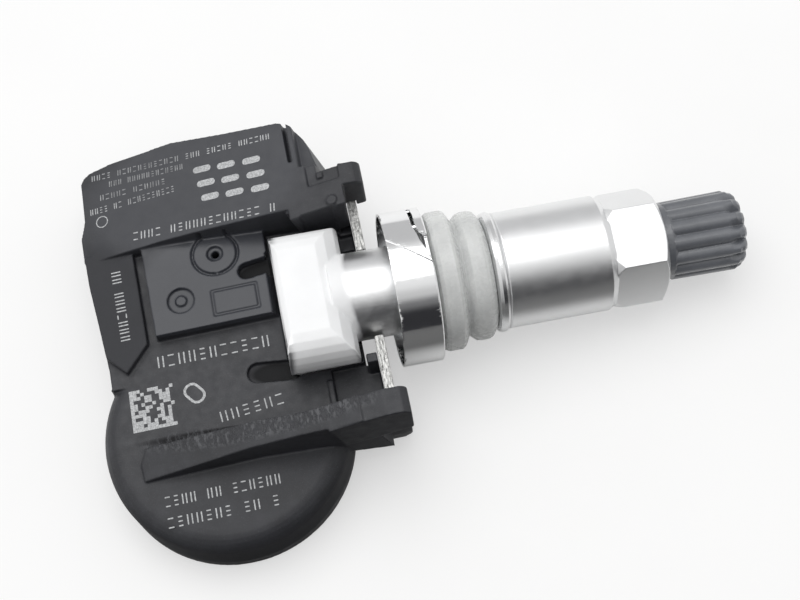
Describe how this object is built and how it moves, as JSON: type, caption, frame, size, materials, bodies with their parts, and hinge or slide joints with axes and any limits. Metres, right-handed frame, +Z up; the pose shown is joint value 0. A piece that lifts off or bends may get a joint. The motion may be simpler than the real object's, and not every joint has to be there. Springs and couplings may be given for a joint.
{
  "type": "tyre pressure sensor",
  "caption": "Tyre pressure sensor: moulded housing with battery lobe and lugs, steel plate, T-bar clamp-in metal valve with split clip, rubber seal, sleeve nut and ribbed dust cap.",
  "frame": {"origin": "under the middle of the part, on the flat base of the housing that lies on the table", "axes": "+X along the valve stem towards the dust cap, +Y along the housing towards the label block, +Z up out of the label face"},
  "size_m": [0.078, 0.0508, 0.0185],
  "materials": {
    "housing_plastic": "fine moulded grain with pale laser marks",
    "cover_plastic": "slightly lighter moulded plastic",
    "plate_steel": "stamped, with rough sheared edges",
    "board_laminate": "green solder mask",
    "cell_steel": "satin",
    "tab_nickel": "bright strip",
    "chip_plastic": "moulded epoxy",
    "seal_rubber": "smooth",
    "ferrite": "sintered",
    "aerial_brass": "bright strip",
    "stem_aluminium": "satin, matt blasted T-bar",
    "clip_steel": "polished spring strip",
    "grommet_rubber": "translucent grey rubber",
    "washer_steel": "polished",
    "nut_aluminium": "satin anodised",
    "cap_plastic": "moulded, slightly blue grey",
    "core_brass": "machined",
    "core_seal": "smooth",
    "spring_steel": "bright wire"
  },
  "bodies": {
    "housing": {"housing_shell": "housing_plastic", "base_cover": "cover_plastic", "retaining_plate": "plate_steel", "circuit_board": "board_laminate", "battery": "cell_steel", "battery_tab_positive": "tab_nickel", "battery_tab_negative": "tab_nickel", "sensor_chip": "chip_plastic", "pressure_gasket": "seal_rubber", "lf_coil": "ferrite", "crystal": "cell_steel", "antenna_loop": "aerial_brass"},
    "valve": {"valve_stem": "stem_aluminium", "spring_clip": "clip_steel", "grommet": "grommet_rubber", "core_barrel": "core_brass", "core_gasket": "core_seal", "core_spring": "spring_steel"},
    "washer": {"thrust_washer": "washer_steel"},
    "nut": {"sleeve_nut": "nut_aluminium"},
    "cap_seal": {"cap_gasket": "seal_rubber"},
    "cap": {"valve_cap": "cap_plastic"},
    "pin": {"core_pin": "core_brass", "core_poppet": "seal_rubber"}
  },
  "joints": [
    {"name": "valve_tilt", "type": "hinge", "parent": "housing", "child": "valve", "pos_m": [-0.01197, 0.00047, 0.0101], "axis": [0, 1, 0], "range_deg": [-8, 8]},
    {"name": "washer_travel", "type": "slide", "parent": "valve", "child": "washer", "axis": [0.9979, 0, -0.0645], "range_m": [-0.0012, 0], "deforming": ["grommet"]},
    {"name": "nut_turn", "type": "hinge", "parent": "washer", "child": "nut", "pos_m": [0.00979, 0.00047, 0.00869], "axis": [0.9979, 0, -0.0645], "range_deg": [-432, 0]},
    {"name": "cap_travel", "type": "slide", "parent": "valve", "child": "cap_seal", "axis": [0.9979, 0, -0.0645], "range_m": [0, 0.00635]},
    {"name": "cap_turn", "type": "hinge", "parent": "cap_seal", "child": "cap", "pos_m": [0.03703, 0.00047, 0.00693], "axis": [0.9979, 0, -0.0645], "range_deg": [0, 2880]},
    {"name": "pin_press", "type": "slide", "parent": "valve", "child": "pin", "axis": [-0.9979, 0, 0.0645], "range_m": [0, 0.0012], "stiffness_N_per_m": 220, "springref_m": -0.002, "deforming": ["core_spring"]}
  ],
  "couplings": [
    {"joint": "nut_turn", "follows": "washer_travel", "rad_per_m": 6283.2},
    {"joint": "cap_turn", "follows": "cap_travel", "rad_per_m": 7913.3}
  ]
}
